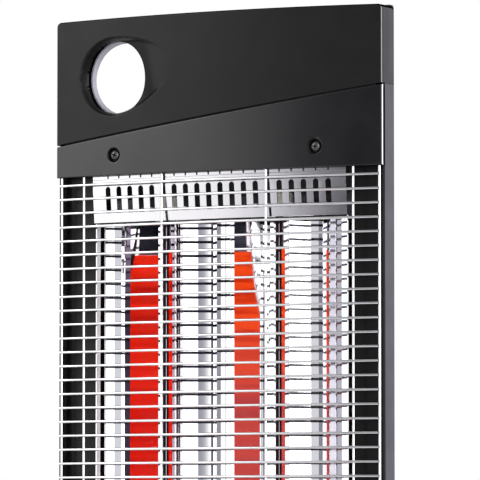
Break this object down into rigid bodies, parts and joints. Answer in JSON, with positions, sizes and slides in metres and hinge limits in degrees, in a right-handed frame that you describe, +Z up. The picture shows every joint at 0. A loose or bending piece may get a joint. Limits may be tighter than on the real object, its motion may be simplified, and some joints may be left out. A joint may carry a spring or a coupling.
{
  "type": "outdoor heater",
  "caption": "Slim free-standing infrared tower heater: glowing quartz lamps in a polished reflector, bowed wire guard, charcoal head with a scooped carrying hole.",
  "frame": {"origin": "centre of the base on the floor", "axes": "+Z up; the guarded front faces -Y; +X to the right seen from the front"},
  "size_m": [0.3, 0.24, 0.8],
  "materials": {
    "charcoal": "satin charcoal moulded plastic",
    "trim": "semi-gloss graphite plastic",
    "liner": "smooth light grey plastic",
    "chrome": "bright chrome-plated wire",
    "mirror": "polished aluminium mirror",
    "sheet": "plain aluminium sheet",
    "quartz": "clear quartz glass",
    "glow": "glowing orange-red heating ribbon",
    "ceramic": "off-white ceramic",
    "black": "matt black plastic",
    "steel": "plain zinc-plated steel",
    "rubber": "black rubber",
    "amber": "translucent amber plastic",
    "wiring": "silicone wire insulation"
  },
  "bodies": {
    "root": {"head_cover": "charcoal", "control_cover": "charcoal", "rear_shell": "charcoal", "pedestal": "charcoal", "base_plate": "charcoal", "upper_trim": "trim", "lower_trim": "trim", "handle_liner": "liner", "wire_guard": "chrome", "guard_upright_left_1": "chrome", "guard_upright_left_2": "chrome", "guard_upright_right_1": "chrome", "guard_upright_right_2": "chrome", "reflector_left": "mirror", "reflector_right": "mirror", "reflector_cap_top": "sheet", "reflector_cap_bottom": "sheet", "heat_shield": "sheet", "lamp_bracket_top_left": "sheet", "lamp_bracket_top_right": "sheet", "lamp_bracket_bottom_left": "sheet", "lamp_bracket_bottom_right": "sheet", "lamp_tube_left": "quartz", "lamp_tube_right": "quartz", "heating_ribbon_left": "glow", "heating_ribbon_right": "glow", "lamp_end_top_left": "ceramic", "lamp_end_top_right": "ceramic", "lamp_end_bottom_left": "ceramic", "lamp_end_bottom_right": "ceramic", "terminal_block": "ceramic", "selector_switch": "ceramic", "tip_switch_housing": "ceramic", "side_panel_left": "black", "side_panel_right": "black", "cord_gland": "black", "thermal_cutout": "black", "bracket_bolt_left": "black", "bracket_bolt_right": "black", "upper_trim_screw_left": "steel", "upper_trim_screw_right": "steel", "lower_trim_screw_left": "steel", "lower_trim_screw_right": "steel", "shell_screw_1": "steel", "shell_screw_2": "steel", "shell_screw_3": "steel", "shell_screw_4": "steel", "plate_bolt_1": "steel", "plate_bolt_2": "steel", "tip_spring": "steel", "foot_front_left": "rubber", "foot_front_right": "rubber", "foot_back_left": "rubber", "foot_back_right": "rubber", "indicator_lens": "amber", "lamp_wire_left": "wiring", "lamp_wire_right": "wiring"},
    "selector": {"selector_knob": "black", "selector_shaft": "steel"},
    "plunger": {"tip_plunger": "amber"}
  },
  "joints": [
    {"name": "selector_turn", "type": "hinge", "parent": "root", "child": "selector", "pos_m": [0.0927, -0.03, 0.0942], "axis": [0, 1, 0], "range_deg": [0, 120]},
    {"name": "plunger_travel", "type": "slide", "parent": "root", "child": "plunger", "axis": [0, 0, -1], "range_m": [0, 0.004], "stiffness_N_per_m": 150, "springref_m": 0.008, "deforming": ["tip_spring"]}
  ]
}
